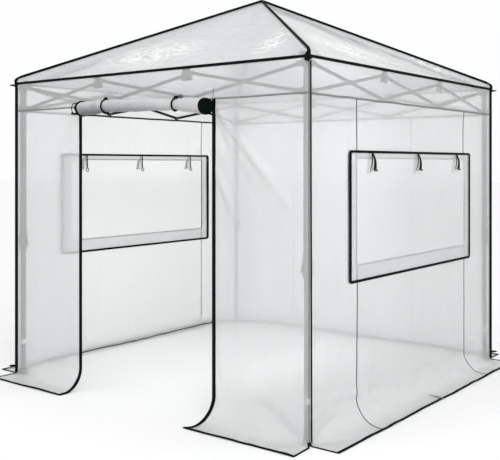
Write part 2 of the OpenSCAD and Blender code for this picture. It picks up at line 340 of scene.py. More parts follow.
def mapped(tree, vector, scale, lean=0.0):
    # the vector turned about Z and stretched
    node = tree.nodes.new("ShaderNodeMapping")
    node.inputs["Scale"].default_value = scale
    node.inputs["Rotation"].default_value = (0, 0, math.radians(lean))
    tree.links.new(vector, node.inputs["Vector"])
    return node.outputs[0]


def noiseNode(tree, vector, scale, detail=3.0, roughness=0.5, stretch=None):
    if stretch:
        vector = mapped(tree, vector, stretch)
    node = tree.nodes.new("ShaderNodeTexNoise")
    node.inputs["Detail"].default_value = detail
    node.inputs["Roughness"].default_value = roughness
    tree.links.new(vector, node.inputs["Vector"])
    if isinstance(scale, (int, float)):
        node.inputs["Scale"].default_value = scale
    else:
        tree.links.new(scale, node.inputs["Scale"])
    return node.outputs["Fac"]


def makeScrimGroup():
    # the crossed threads that are laminated into the film
    group, given, calc = newGroup("scrimThreads", {"Vector": None, "Pitch": 0.008, "Thread": 0.0011}, ["Thread"])
    axes = splitAxes(group, given["Vector"])
    lines = []
    for axis in ("X", "Y"):
        phase = calc("FRACT", calc("DIVIDE", axes[axis], given["Pitch"]))
        metres = calc("MULTIPLY", calc("ABSOLUTE", calc("SUBTRACT", phase, 0.5)), given["Pitch"])
        share = calc("DIVIDE", metres, given["Thread"])
        lines.append(calc("SUBTRACT", 1.0, calc("MINIMUM", share, 1.0)))
    return closeGroup(group, Thread=calc("MAXIMUM", *lines))


def makeCrinkleGroup():
    # fine creases of handled plastic, and its cloudy patches
    group, given, calc = newGroup("filmCrinkle", {"Vector": None, "Size": 24.0}, ["Height", "Cloud"])
    fine = noiseNode(group, given["Vector"], given["Size"], 4.0, 0.55)
    away = calc("ABSOLUTE", calc("MULTIPLY", calc("SUBTRACT", fine, 0.5), 5.0))
    wide = noiseNode(group, given["Vector"], 5.5, 2.0, 0.5, (1.0, 0.5, 1.0))
    height = calc("ADD", calc("MULTIPLY", calc("SUBTRACT", 1.0, away), 0.35), wide)
    return closeGroup(group, Height=height, Cloud=noiseNode(group, given["Vector"], 2.2, 5.0, 0.6))


def makeWhiteningAndGlintGroup():
    # the white crease lines of folded plastic, thickest round one place of the sheet: partly the plastic's own stress
    # whitening, partly painted highlight that stands for glints on the creases
    group, given, calc = newGroup("whiteningAndGlintCreases", {"Vector": None, "Centre": None, "Reach": None}, ["Mask"])
    offset = calc("SUBTRACT", given["Vector"], given["Centre"], "ShaderNodeVectorMath")
    scaled = calc("MULTIPLY", offset, given["Reach"], "ShaderNodeVectorMath")
    length = calc("LENGTH", scaled, None, "ShaderNodeVectorMath")
    leaning = mapped(group, given["Vector"], (0.55, 1.5, 1.0), -28)
    lines = []
    for scale, sharpness in ((6.5, 22.0), (15.0, 16.0)):
        away = calc("ABSOLUTE", calc("SUBTRACT", noiseNode(group, leaning, scale, 3.0, 0.6), 0.5))
        lines.append(calc("SUBTRACT", 0.9, calc("MULTIPLY", away, sharpness)))
    line = calc("MAXIMUM", calc("MAXIMUM", *lines), 0.0)
    near = calc("MAXIMUM", calc("SUBTRACT", 1.1, length), 0.0)
    return closeGroup(group, Mask=calc("MULTIPLY", line, calc("MINIMUM", calc("ADD", near, 0.12), 1.0)))


def makeGrainGroup():
    # the fine orange peel of powder coat and moulded plastic, with slow colour drift
    group, given, _ = newGroup("surfaceGrain", {"Vector": None, "Scale": 600.0}, ["Height", "Drift"])
    return closeGroup(group, Height=noiseNode(group, given["Vector"], given["Scale"], 2.0),
                      Drift=noiseNode(group, given["Vector"], 7.0, 4.0))


def makeWebGroup():
    # the ribs and the row of stitches of woven tape; U runs along the tape
    group, given, calc = newGroup("wovenTape", {"Vector": None, "Rib": 0.0016, "Stitch": 0.006}, ["Height", "Thread"])
    ribLean, dashShare, rowInset, threadHalf = 0.7, 0.62, 0.003, 0.0006
    axes = splitAxes(group, given["Vector"])
    ribs = calc("PINGPONG", calc("ADD", axes["X"], calc("MULTIPLY", axes["Y"], ribLean)), given["Rib"])
    dash = calc("LESS_THAN", calc("FRACT", calc("DIVIDE", axes["X"], given["Stitch"])), dashShare)
    inRow = calc("LESS_THAN", calc("ABSOLUTE", calc("SUBTRACT", axes["Y"], rowInset)), threadHalf)
    return closeGroup(group, Height=calc("DIVIDE", ribs, given["Rib"]), Thread=calc("MULTIPLY", dash, inRow))


groups = {"scrim": makeScrimGroup(), "crinkle": makeCrinkleGroup(), "whiteningAndGlint": makeWhiteningAndGlintGroup(),
          "grain": makeGrainGroup(), "web": makeWebGroup()}


def newMaterial(name, **values):
    material = bpy.data.materials.new(name)
    material.use_nodes = True
    shader = material.node_tree.nodes["Principled BSDF"]
    for label, value in values.items():
        shader.inputs[label.replace("_", " ")].default_value = value
    return material, material.node_tree, shader


def placeGroup(tree, group, vector, **values):
    node = tree.nodes.new("ShaderNodeGroup")
    node.node_tree = group
    tree.links.new(vector, node.inputs["Vector"])
    for label, value in values.items():
        node.inputs[label].default_value = value
    return node


def coordinates(tree, kind):
    if kind == "cloth":
        node = tree.nodes.new("ShaderNodeUVMap")
        node.uv_map = "cloth"
        return node.outputs[0]
    return tree.nodes.new("ShaderNodeTexCoord").outputs[kind]


def ramped(tree, factor, low, high, socket):
    # a value between low and high into a shader's socket
    node = tree.nodes.new("ShaderNodeMapRange")
    node.inputs["To Min"].default_value, node.inputs["To Max"].default_value = low, high
    tree.links.new(factor, node.inputs["Value"])
    tree.links.new(node.outputs[0], socket)


def colourMix(tree, factor, first, second):
    node = tree.nodes.new("ShaderNodeMix")
    node.data_type = "RGBA"
    colours = [socket for socket in node.inputs if socket.type == "RGBA"]
    for socket, value in zip(colours, (first, second)):
        if isinstance(value, tuple):
            socket.default_value = (*value, 1.0)
        else:
            tree.links.new(value, socket)
    tree.links.new(factor, node.inputs[0])
    return [socket for socket in node.outputs if socket.type == "RGBA"][0]


def bumped(tree, shader, height, strength, distance):
    node = tree.nodes.new("ShaderNodeBump")
    node.inputs["Strength"].default_value = strength
    node.inputs["Distance"].default_value = distance
    tree.links.new(height, node.inputs["Height"])
    tree.links.new(node.outputs[0], shader.inputs["Normal"])


filmLook = {
    "colour": (0.745, 0.755, 0.76), "cloudColour": (0.705, 0.715, 0.72), "threadColour": (0.585, 0.60, 0.605),
    "alpha": 0.58, "transmission": 0.52, "ior": 1.04, "roughness": 0.40, "coat": 0.30, "coatRoughness": 0.16,
    "crinkleSize": 24.0, "bump": 0.35, "depth": 0.004, "threadHeight": 0.12, "whiteningAndGlint": (), "shade": None,
}
# the roof's film is more opaque than the walls', and its colours are darker than the same film on the walls: painted
# shade that keeps the roof, lit from above, no brighter than the walls
roofLook = filmLook | {
    "colour": (0.60, 0.615, 0.622), "cloudColour": (0.56, 0.575, 0.582), "threadColour": (0.50, 0.52, 0.522),
    "alpha": 0.80, "transmission": 0.30, "coat": 0.5, "coatRoughness": 0.12, "crinkleSize": 15.0, "bump": 0.6,
    # white crease patches: partly stress whitening, partly painted highlight for glints
    "whiteningAndGlint": (((-0.20, 0.36, 0.0), (2.1, 3.6, 1.0)), ((0.78, 0.34, 0.0), (7.0, 3.6, 1.0))),
    "whiteningAndGlintColour": (0.98, 0.98, 0.98),
}


def shadeMask(tree, cloth, look):
    # painted shade: a darker band across the cloth with a wavy edge, which fades out along it
    calc = partial(mathNode, tree)
    start, end = look["shade"]
    first, last = look["shadeFade"]
    axes = splitAxes(tree, cloth)
    drift = noiseNode(tree, cloth, 7.0, 3.0, 0.5, (1.0, 0.6, 1.0))
    along = calc("ADD", axes["Y"], calc("MULTIPLY", calc("SUBTRACT", drift, 0.5), look["shadeDrift"]))
    share = clamped(tree, calc("DIVIDE", calc("SUBTRACT", along, start), end - start))
    fade = calc("DIVIDE", calc("SUBTRACT", axes["X"], first), last - first)
    return calc("MULTIPLY", share, clamped(tree, calc("SUBTRACT", 1.0, fade)))


def makeFilm(name, look):
    material, tree, shader = newMaterial(
        name, Alpha=look["alpha"], Transmission_Weight=look["transmission"], IOR=look["ior"],
        Roughness=look["roughness"], Coat_Weight=look["coat"], Coat_Roughness=look["coatRoughness"])
    cloth = coordinates(tree, "cloth")
    threads = placeGroup(tree, groups["scrim"], cloth).outputs["Thread"]
    crinkle = placeGroup(tree, groups["crinkle"], cloth, Size=look["crinkleSize"])
    colour = colourMix(tree, crinkle.outputs["Cloud"], look["colour"], look["cloudColour"])
    colour = colourMix(tree, threads, colour, look["threadColour"])
    # white crease lines: partly stress whitening of the plastic, partly painted highlight for glints on the creases
    if look["whiteningAndGlint"]:
        patches = [placeGroup(tree, groups["whiteningAndGlint"], cloth, Centre=at, Reach=reach).outputs["Mask"]
                   for at, reach in look["whiteningAndGlint"]]
        colour = colourMix(tree, mathNode(tree, "MAXIMUM", *patches), colour, look["whiteningAndGlintColour"])
    # painted shade, where the look gives a shade band
    if look["shade"]:
        colour = colourMix(tree, shadeMask(tree, cloth, look), colour, look["shadeColour"])
    tree.links.new(colour, shader.inputs["Base Color"])
    raised = mathNode(tree, "MULTIPLY", threads, look["threadHeight"])
    bumped(tree, shader, mathNode(tree, "ADD", crinkle.outputs["Height"], raised), look["bump"], look["depth"])
    return material


grainDepth = 0.0004  # of woven ribs and of paint's orange peel


def makeTape(name, colour, threadColour, roughness):
    material, tree, shader = newMaterial(name, Specular_IOR_Level=0.03)
    web = placeGroup(tree, groups["web"], coordinates(tree, "cloth")).outputs
    grain = placeGroup(tree, groups["grain"], coordinates(tree, "Object"))
    base = colourMix(tree, grain.outputs["Drift"], colour, tuple(c * 1.5 for c in colour))
    tree.links.new(colourMix(tree, web["Thread"], base, threadColour), shader.inputs["Base Color"])
    ramped(tree, web["Height"], roughness - 0.12, roughness, shader.inputs["Roughness"])
    bumped(tree, shader, mathNode(tree, "ADD", web["Height"], web["Thread"]), 0.5, grainDepth)
    return material


def makeCoated(name, colour, driftColour, roughness, scale=600.0, bump=0.25, **values):
    material, tree, shader = newMaterial(name, **values)
    grain = placeGroup(tree, groups["grain"], coordinates(tree, "Object"), Scale=scale).outputs
    tree.links.new(colourMix(tree, grain["Drift"], colour, driftColour), shader.inputs["Base Color"])
    ramped(tree, grain["Drift"], roughness - 0.08, roughness + 0.08, shader.inputs["Roughness"])
    bumped(tree, shader, grain["Height"], bump, grainDepth)
    return material


film = makeFilm("greenhouseFilm", filmLook)
roofFilm = makeFilm("roofFilm", roofLook)
tape = makeTape("bindingTape", (0.0018, 0.004, 0.0034), (0.006, 0.010, 0.009), 0.7)
webbing = makeTape("strapWebbing", (0.003, 0.005, 0.0045), (0.01, 0.014, 0.013), 0.75)
greyWebbing = makeTape("greyWebbing", (0.010, 0.014, 0.013), (0.03, 0.036, 0.034), 0.75)
hemThread = makeCoated("hemThread", (0.03, 0.035, 0.034), (0.05, 0.055, 0.054), 0.6)
seamBand = makeTape("seamBand", (0.13, 0.15, 0.145), (0.20, 0.22, 0.215), 0.7)
innerBand = makeTape("innerBand", (0.010, 0.016, 0.014), (0.03, 0.04, 0.036), 0.7)
seamThread = makeCoated("seamThread", (0.02, 0.025, 0.024), (0.045, 0.055, 0.055), 0.6)
legSteel = makeCoated("powderCoatedSteel", (0.035, 0.060, 0.052), (0.044, 0.070, 0.061), 0.45,
                      Specular_IOR_Level=0.3)
trussSteel = makeCoated("trussSteel", (0.002, 0.004, 0.0035), (0.006, 0.010, 0.009), 0.55, Specular_IOR_Level=0.08)
darkPlastic = makeCoated("darkPlastic", (0.018, 0.026, 0.024), (0.028, 0.036, 0.034), 0.5, 900.0)
blackPlastic = makeCoated("blackPlastic", (0.003, 0.006, 0.005), (0.008, 0.012, 0.011), 0.6, 900.0,
                          Specular_IOR_Level=0.05)
palePlastic = makeCoated("palePlastic", (0.62, 0.64, 0.63), (0.70, 0.72, 0.71), 0.4, 900.0)
paleCord = makeCoated("paleCord", (0.20, 0.21, 0.205), (0.27, 0.28, 0.275), 0.8, 2200.0, 0.8)
print("materials made")


view = {"lens": 59.67, "shift": (0.0033, -0.1323), "place": (3.539, -4.718, 1.438), "turn": 37.815}


def makeCamera():
    data = bpy.data.cameras.new("camera")
    camera = bpy.data.objects.new("camera", data)
    bpy.context.scene.collection.objects.link(camera)
    data.sensor_width = 36
    data.lens = view["lens"]
    data.shift_x, data.shift_y = view["shift"]
    camera.location = view["place"]
    camera.rotation_euler = (math.radians(90), 0, math.radians(view["turn"]))
    bpy.context.scene.camera = camera


studio = {
    "backdrop": 0.992, "skyTop": 1.19, "skyLow": 1.26, "floorColour": (0.755, 0.755, 0.755), "floorReach": 60,
    "keyEnergy": 352.0, "keySize": 3.0, "keyPlace": (6.2, -5.8, 5.2), "fillSize": 1.3,
    "fills": {"fillLeft": (20.0, (0.5, 0.1, 1.3), (-1.2, 0.1, 1.2)),  # power, place, target
              "fillRight": (6.0, (-0.3, 0.2, 1.3), (1.2, 0.2, 1.3))},
}


def makeWorld():
    # even light all round, and a white backdrop behind the object
    world = bpy.data.worlds.new("studio")
    bpy.context.scene.world = world
    world.use_nodes = True
    tree = world.node_tree
    tree.nodes.clear()
    out, mix, path, sky, backdrop, place = (tree.nodes.new("ShaderNode" + kind) for kind in (
        "OutputWorld", "MixShader", "LightPath", "Background", "Background", "TexCoord"))
    height = splitAxes(tree, place.outputs["Generated"])["Z"]
    ramped(tree, height, studio["skyLow"], studio["skyTop"], sky.inputs["Strength"])
    backdrop.inputs["Strength"].default_value = studio["backdrop"]
    tree.links.new(path.outputs["Is Camera Ray"], mix.inputs["Fac"])
    for slot, shade in ((1, sky), (2, backdrop)):
        shade.inputs["Color"].default_value = (1, 1, 1, 1)
        tree.links.new(shade.outputs[0], mix.inputs[slot])
    tree.links.new(mix.outputs[0], out.inputs["Surface"])


def makeLight(name, energy, size, place, target=(0, 0, 1.0)):
    data = bpy.data.lights.new(name, "AREA")
    data.energy, data.size = energy, size
    light = bpy.data.objects.new(name, data)
    light.location = place
    light.rotation_mode = "QUATERNION"
    light.rotation_quaternion = (Vector(target) - Vector(place)).to_track_quat("-Z", "Y")
    bpy.context.scene.collection.objects.link(light)
    return light


def makeFills():
    # soft lamps inside, so that the walls in there are as pale as outside
    for name, (energy, place, target) in studio["fills"].items():
        light = makeLight(name, energy, studio["fillSize"], place, target)
        light.visible_camera = light.visible_glossy = light.visible_transmission = False


def makeFloor():
    reach = studio["floorReach"]
    mesh = bpy.data.meshes.new("floor")
    corners = [(-reach, -reach, 0), (reach, -reach, 0), (reach, reach, 0), (-reach, reach, 0)]
    mesh.from_pydata(corners, [], [(0, 1, 2, 3)])
    floor = bpy.data.objects.new("floor", mesh)
    floor.location.z = -0.0005
    bpy.context.scene.collection.objects.link(floor)
    material, tree, shader = newMaterial("paleFloor", Roughness=0.7)
    shader.inputs["Base Color"].default_value = (*studio["floorColour"], 1)
    mesh.materials.append(material)
    floor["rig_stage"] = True


makeCamera()
makeWorld()
makeLight("key", studio["keyEnergy"], studio["keySize"], studio["keyPlace"])
makeFloor()
bpy.context.scene.view_settings.view_transform = "Standard"
bpy.context.scene.cycles.transparent_max_bounces = 24
makeFills()
print("stage made")


walls = {
    "cell": 0.016, "thickness": 0.0015, "edge": half - 0.003, "cornerBend": 0.022, "cornerEase": 0.30,
    "doorGap": 0.004, "bendRows": 13, "groundRows": 3, "heldSide": 0.09, "heldTop": 0.07, "heldWindow": 0.08,
    # waves: height, and size along and up
    "billow": (0.007, 0.62, 0.75), "ripple": (0.0030, 0.075, 0.42), "groundRipple": (0.009, 0.12, 0.3),
    "edgeWander": (0.004, 0.22, 0.22), "windowStreaks": (0.0012, 0.03, 0.5),
    # creases: height, size and lean
    "crease": (0.0026, 0.085, 72), "bendCrumple": (0.013, 0.075, 12), "crumpleLevel": 0.6, "farCrumple": 0.2,
}
panelFolds = {  # start, end, height, width and bow of each; the ones with a minus go inward
    "doorRight": (((doorHalf, 1.77), (1.16, 1.14), 0.024, 0.026, 0.03),
                  ((doorHalf, 1.68), (0.90, 1.20), -0.014, 0.026, 0.0),
                  ((doorHalf, 1.46), (0.80, 1.02), 0.013, 0.026, 0.0),
                  ((0.62, 1.30), (0.70, 0.75), -0.006, 0.045, 0.0)),
    "doorLeft": (((doorLeft, 1.74), (-1.02, 1.22), 0.012, 0.040, -0.02),
                 ((doorLeft, 1.60), (-0.86, 1.20), -0.007, 0.035, 0.0)),
    "window": (((-1.1, 1.5), (-0.85, 1.15), 0.004, 0.02, 0.0),),
}


def panelMove(s, z, kind):
    # the pulls beside the door's top corners, or the pull beside a window and its light streaks
    move = sum(foldLine(s, z, *fold) for fold in panelFolds[kind])
    if kind == "window":
        move = move + waves(s, z, walls["windowStreaks"], 77)
    return move


def wallGrid(cols, zStops, side, seed, flares, folds, hole):
    # points of one wall from the seam down, round the bend and out over the ground
    rowsZ = stops(zStops, walls["cell"])
    fall = (seamZ - rowsZ) / (seamZ - skirtBend)
    turn = np.linspace(0, math.pi / 2, walls["bendRows"] + 1)[1:]
    strip = np.linspace(0, 1, walls["groundRows"] + 1)[1:]
    ease = smooth((half - np.abs(cols)) / walls["cornerEase"])
    radius = walls["cornerBend"] + (skirtBend - walls["cornerBend"]) * ease
    straight = [np.zeros((len(fall), len(cols))), seamZ - fall[:, None] * (seamZ - radius)]
    bend = [radius * (1 - np.cos(turn[:, None])), radius * (1 - np.sin(turn[:, None]))]
    flat = [radius + strip[:, None] * (skirtReach - radius), np.zeros((len(strip), len(cols)))]
    out, z = [np.concatenate(runs) for runs in zip(straight, bend, flat)]
    tilt = np.concatenate((0 * fall, turn, 0 * strip + math.pi / 2))[:, None]
    down = np.concatenate((0 * fall, turn / turn[-1] * 0.75, 0.75 + 0.25 * strip))[:, None]
    s = np.broadcast_to(cols, z.shape)
    length = np.concatenate((seamZ - rowsZ, seamZ - skirtBend + skirtBend * turn,
                             seamZ + skirtBend * (math.pi / 2 - 1) + strip * (skirtReach - skirtBend)))[:, None]
    away = np.minimum(s - cols[0], cols[-1] - s)
    held = smooth(away / walls["heldSide"]) * smooth((seamZ - z) / walls["heldTop"])
    if hole:
        aside = np.maximum(np.abs(s) - hole[0], np.maximum(hole[1] - z, z - hole[2]))
        held = held * smooth((np.abs(aside) + 0.01) / walls["heldWindow"])
    wall = (waves(s, z, walls["billow"], seed) + waves(s, z, walls["ripple"], seed + 1)
            + creases(s, z, walls["crease"], seed + 2))
    if folds:
        wall = wall + panelMove(s, z, folds)
    nearEdge = smooth(away / 0.05)
    crumple = creases(s, length, walls["bendCrumple"], seed + 3, walls["crumpleLevel"]) * nearEdge
    crumple = crumple * (1.0 if side < 2 else walls["farCrumple"])
    ground = np.abs(waves(s, length, walls["groundRipple"], seed + 4)) * nearEdge
    atBend = smooth((0.32 - z) / 0.22) * smooth((z + 0.01) / 0.03)  # full below 0.10, none above 0.32
    onGround = 1 - smooth(z / 0.02)
    move = wall * held * (1 - onGround) * (1 - 0.7 * down) + crumple * atBend + ground * onGround
    out = out + np.cos(tilt) * move + waves(s, s, walls["edgeWander"], seed + 5) * down
    z = np.maximum(z + np.sin(tilt) * move, 0) + walls["thickness"] / 2
    share = (s - cols[0]) / (cols[-1] - cols[0])
    spread = (flares[0] * (1 - share) ** 3 + flares[1] * share ** 3) * down ** 1.5
    return turned(onFront(s + spread, out, z), side), np.stack((s, np.broadcast_to(-length, z.shape)), -1)


grids = {}
hemTop, hemLow, hemSide = 0.042, 0.094, 0.080  # from the flap's edge to the window's
holeHalf = flapHigh.y - hemSide
holeLow, holeHigh = flapLow.z + hemLow, flapHigh.z - hemTop
# the cloth's length from the seam to the skirt's edge
wallDrop = seamZ - skirtBend + skirtBend * math.pi / 2 + skirtReach - skirtBend


def makeWalls():
    edge, step = walls["edge"], walls["cell"]
    plain, hole = [seamZ, skirtBend], (holeHalf, holeLow, holeHigh)
    holeStops = [seamZ, holeHigh, holeLow, skirtBend]
    sideCols = stops([-edge, -holeHalf, holeHalf, edge], step)
    rightCols = stops([doorHalf + walls["doorGap"], edge], step)
    leftCols = stops([-edge, doorLeft - walls["doorGap"]], step)
    even = (0.0, 0.0)
    specs = {  # columns, rows, side, seed, flare at each end, folds, window, nodes
        "FrontRight": (rightCols, plain, 0, 11, (-0.064, 0.029), "doorRight", None,
                       ("front_panel_right", "front_skirt_right")),
        "FrontLeft": (leftCols, plain, 0, 23, (-0.029, 0.0), "doorLeft", None,
                      ("front_panel_left", "front_skirt_left")),
        "Right": (sideCols, holeStops, 1, 37, even, "window", hole, ("right_wall", "right_skirt")),
        "Left": (sideCols, holeStops, 3, 41, even, "window", hole, ("left_wall", "left_skirt")),
        "Back": (stops([-edge, edge], step), plain, 2, 53, even, None, None, ("back_wall", "back_skirt")),
    }
    for name, (cols, zStops, side, seed, flares, folds, gap, nodes) in specs.items():
        grid, uvs = wallGrid(cols, zStops, side, seed, flares, folds, gap)
        keep, area = None, None
        width = cols[-1] - cols[0]
        if gap:
            middle = (cols[:-1] + cols[1:]) / 2
            rowsZ = stops(zStops, step)
            rowMid = np.full(len(grid) - 1, -1.0)
            rowMid[:len(rowsZ) - 1] = (rowsZ[:-1] + rowsZ[1:]) / 2
            keep = ~((np.abs(middle) < gap[0])[None] & ((rowMid > gap[1]) & (rowMid < gap[2]))[:, None])
            area = round(width * wallDrop - 2 * gap[0] * (gap[2] - gap[1]), 3)
        piece = makePiece("film" + name, sheetShape(grid, uvs, walls["thickness"], keep), film, nodes)
        grids["film" + name] = (grid, cols)


makeWalls()
print("walls made")


roof = {
    "cols": 116, "rows": 66, "sag": 0.012, "tip": 0.985, "lift": 0.034, "liftReach": 0.11,
    "crumple": (0.006, 0.10, 34), "crumpleLevel": 0.6, "soft": (0.004, 0.3, 0.3),
}
valance = {"step": 0.016, "ripple": (0.0025, 0.11, 0.5), "crease": (0.0030, 0.09, 60)}


def makeRoofSheet(side, name):
    across = np.linspace(-1, 1, roof["cols"])
    rise = np.linspace(0, roof["tip"], roof["rows"])[::-1]
    height = peakZ - eaveZ
    slope = math.hypot(half, height)
    a, q = np.meshgrid(across, rise)
    x = a * (half - 0.002) * (1 - q)
    climb = q * slope
    held = smooth((1 - np.abs(a)) * (1 - q) / 0.09) * smooth(q / 0.05)
    middlePatch = np.exp(-(((x + 0.10) / 0.34) ** 2 + ((climb - 0.36) / 0.36) ** 2))
    hipPatch = np.exp(-(((x - (1 - q) * half + 0.18) / 0.14) ** 2))
    wrinkles = creases(x, climb, roof["crumple"], 61 + 7 * side, roof["crumpleLevel"])
    wrinkles = wrinkles * (middlePatch + 0.8 * hipPatch + 0.22)
    soft = waves(x, climb, roof["soft"], 63 + side)
    move = -roof["sag"] * np.cos(a * math.pi / 2) * (1 - q) * smooth(q / 0.3) + (wrinkles + soft) * held
    beside = (1 - np.abs(a)) * (1 - q) * half
    points = onFront(x, -half * q, eaveZ + q * height) + move[..., None] * np.array((0, -height, half)) / slope
    points[..., 2] += roof["lift"] * (1 - q) * np.exp(-((beside / roof["liftReach"]) ** 2))
    shape = sheetShape(turned(points, side), np.stack((x, climb), -1), walls["thickness"])
    piece = makePiece("filmRoof" + name, shape, roofFilm, ("roof_" + name.lower(),))


def makeValance(side, name):
    cols = stops([-half + 0.003, half - 0.003], valance["step"])
    s, z = np.meshgrid(cols, stops([eaveZ - 0.002, seamZ], valance["step"]))
    held = smooth((eaveZ - z) / 0.03) * smooth((z - seamZ) / 0.03) * smooth((half - np.abs(s)) / 0.05)
    noise = waves(s, z, valance["ripple"], 90 + side) + creases(s, z, valance["crease"], 95 + side)
    follow = (roof["lift"] + 0.002) * np.exp(-(((half - np.abs(s)) / roof["liftReach"]) ** 2))
    points = onFront(s, noise * held, z + follow * smooth((z - eaveZ + 0.05) / 0.048))
    shape = sheetShape(turned(points, side), np.stack((s, z), -1), walls["thickness"])
    piece = makePiece("filmValance" + name, shape, film, ("valance",))


for side, name in enumerate(sideNames):
    makeRoofSheet(side, name)
    makeValance(side, name)
print("roof made")


flaps = {
    "out": 0.0055, "step": 0.016, "bulge": 0.0024, "billow": (0.004, 0.5, 0.4), "crease": (0.0010, 0.12, 80),
    "upright": 0.023, "level": 0.015,
    "tapeThick": 0.005, "round": 0.016, "hemGap": 0.004, "hem": 0.006, "hemThick": 0.003, "hemRound": 0.008,
}


def outlinePath(halfWidth, low, high, radius, out):
    # a closed path round a rectangle with rounded corners, on the front face
    path = []
    corners = ((halfWidth, low, -90), (halfWidth, high, 0), (-halfWidth, high, 90), (-halfWidth, low, 180))
    for x, z, start in corners:
        cx, cz = x - math.copysign(radius, x), z + (radius if z == low else -radius)
        for turn in np.radians(np.linspace(start, start + 90, 5)):
            path.append((cx + radius * math.cos(turn), -half - out, cz + radius * math.sin(turn)))
    full = []
    for a, b in zip(path, path[1:] + path[:1]):
        count = max(1, round(math.dist(a, b) / 0.05))
        full += [np.asarray(a) + (np.asarray(b) - a) * k / count for k in range(count)]
    return np.array(full)


def makeFlaps():
    flapHalf = flapHigh.y
    cols = stops([-flapHalf, flapHalf], flaps["step"])
    s, z = np.meshgrid(cols, stops([flapHigh.z, flapLow.z], flaps["step"]))
    edge = np.minimum(flapHalf - np.abs(s), np.minimum(flapHigh.z - z, z - flapLow.z))
    for side, hand in ((1, "Right"), (3, "Left")):
        bulge = waves(s, z, flaps["billow"], 120 + side) + creases(s, z, flaps["crease"], 130 + side)
        points = onFront(s, flaps["out"] + smooth(edge / 0.12) * (flaps["bulge"] + bulge), z)
        shape = sheetShape(turned(points, side), np.stack((s, z), -1), walls["thickness"])
        piece = makePiece("flap" + hand, shape, film, ("window_flap_" + hand.lower(),))
        parts = []
        for out in (flaps["out"] + 0.0025, -0.0035):  # outside, and inside the wall
            loop = outlinePath(flapHalf - 0.003, flapLow.z + 0.002, flapHigh.z - 0.002, flaps["round"], out)
            around = np.roll(loop, -1, 0) - np.roll(loop, 1, 0)
            upright = smooth(np.abs(around[:, 2]) / np.linalg.norm(around, axis=1))
            width = flaps["level"] + (flaps["upright"] - flaps["level"]) * upright
            loop = turned(loop, side)
            parts.append(tubeShape(loop, loop.mean(0) - loop, width, flaps["tapeThick"], closed=True))
        makePiece("flapTape" + hand, joined(parts), tape, ("flap_binding",))
        gap = flaps["hemGap"]
        loop = turned(outlinePath(holeHalf + gap, holeLow - gap, holeHigh + gap, flaps["hemRound"], 0.002), side)
        hem = tubeShape(loop, loop.mean(0) - loop, flaps["hem"], flaps["hemThick"], 6, closed=True)
        makePiece("windowHem" + hand, hem, hemThread, ())


makeFlaps()
print("flaps made")


tapes = {
    "edge": 0.016, "thick": 0.007, "corner": 0.012, "welt": 0.023, "end": 0.010, "door": 0.026,
    "hip": (0.0155, 0.023, 0.023, 0.023), "hipOut": 0.006, "cap": (0.034, 0.026), "capReach": 0.022,
    "hipAside": 0.016, "eave": 0.0165, "eaveThick": 0.010, "eaveShort": 0.004, "seam": 0.0095,
    "valanceSeam": 0.010, "innerSeam": 0.013, "seamThick": 0.0024, "seamWander": (0.0025, 0.16, 0.16),
    "inner": 0.017, "innerThick": 0.004, "splitZ": 0.022,
}


def alongEdge(grid, edge, width, thick, rows=slice(None)):
    # tape folded over one edge of a sheet: "low", "left" or "right"
    line, inner = {"low": (grid[-1], grid[-2]), "left": (grid[:, 0], grid[:, 1]),
                   "right": (grid[:, -1], grid[:, -2])}[edge]
    across = unit(inner - line)
    path = line + across * width * (0.1 if edge == "low" else 0.3)
    path[:, 2] = np.maximum(path[:, 2], thick / 2)
    return tubeShape(path[rows], across[rows], width, thick)


def makeSkirtTapes():
    low, ends, door = [], [], []
    thick = tapes["thick"]
    for grid, cols in grids.values():
        low.append(alongEdge(grid, "low", tapes["edge"], thick))
        for edge, column in (("left", 0), ("right", -1)):
            below = np.nonzero(grid[:, column, 2] < tapes["splitZ"])[0][0]
            if abs(cols[column]) < half - 0.1:
                door.append(alongEdge(grid, edge, tapes["door"], thick))
            else:
                ends.append(alongEdge(grid, edge, tapes["end"], thick * 0.7, slice(below, None)))
    for name in ("filmLeft", "filmBack"):  # seen from inside, along the wall's foot
        grid = grids[name][0]
        middle = grid.shape[1] // 2
        row = int(np.argmin(np.abs(grid[:, middle, 2] - tapes["edge"])))
        line, above = grid[row], grid[row - 1]
        normal = unit(np.cross(above - line, np.gradient(line, axis=0)))
        if normal[middle] @ (-line[middle] * (1, 1, 0)) < 0:
            normal = -normal
        inside = line + normal * tapes["innerThick"]
        low.append(tubeShape(inside, above - line, tapes["inner"], tapes["innerThick"], 6))
    makePiece("skirtTape", joined(low + ends), tape, ("skirt_binding",))
    makePiece("doorTape", joined(door), tape, ("doorway_binding",))


def cornerShape(side, alongX, alongY):
    # the front right corner has a flat tape on its right wall, the others a round welt
    z = np.linspace(0.012, eaveZ - 0.02, 60)
    if side:
        path = np.stack((0 * z + alongX * (half + 0.002), 0 * z + alongY * (half + 0.002), z), -1)
        return tubeShape(path, (0, 1, 0), tapes["welt"], tapes["welt"], 10, 1.0)
    inset = 0.012 + 0.009 * (eaveZ - z) / eaveZ
    path = np.stack((0 * z + alongX * (half + 0.001), alongY * (half - inset), z), -1)
    return tubeShape(path, (0, 1, 0), tapes["corner"], tapes["thick"])


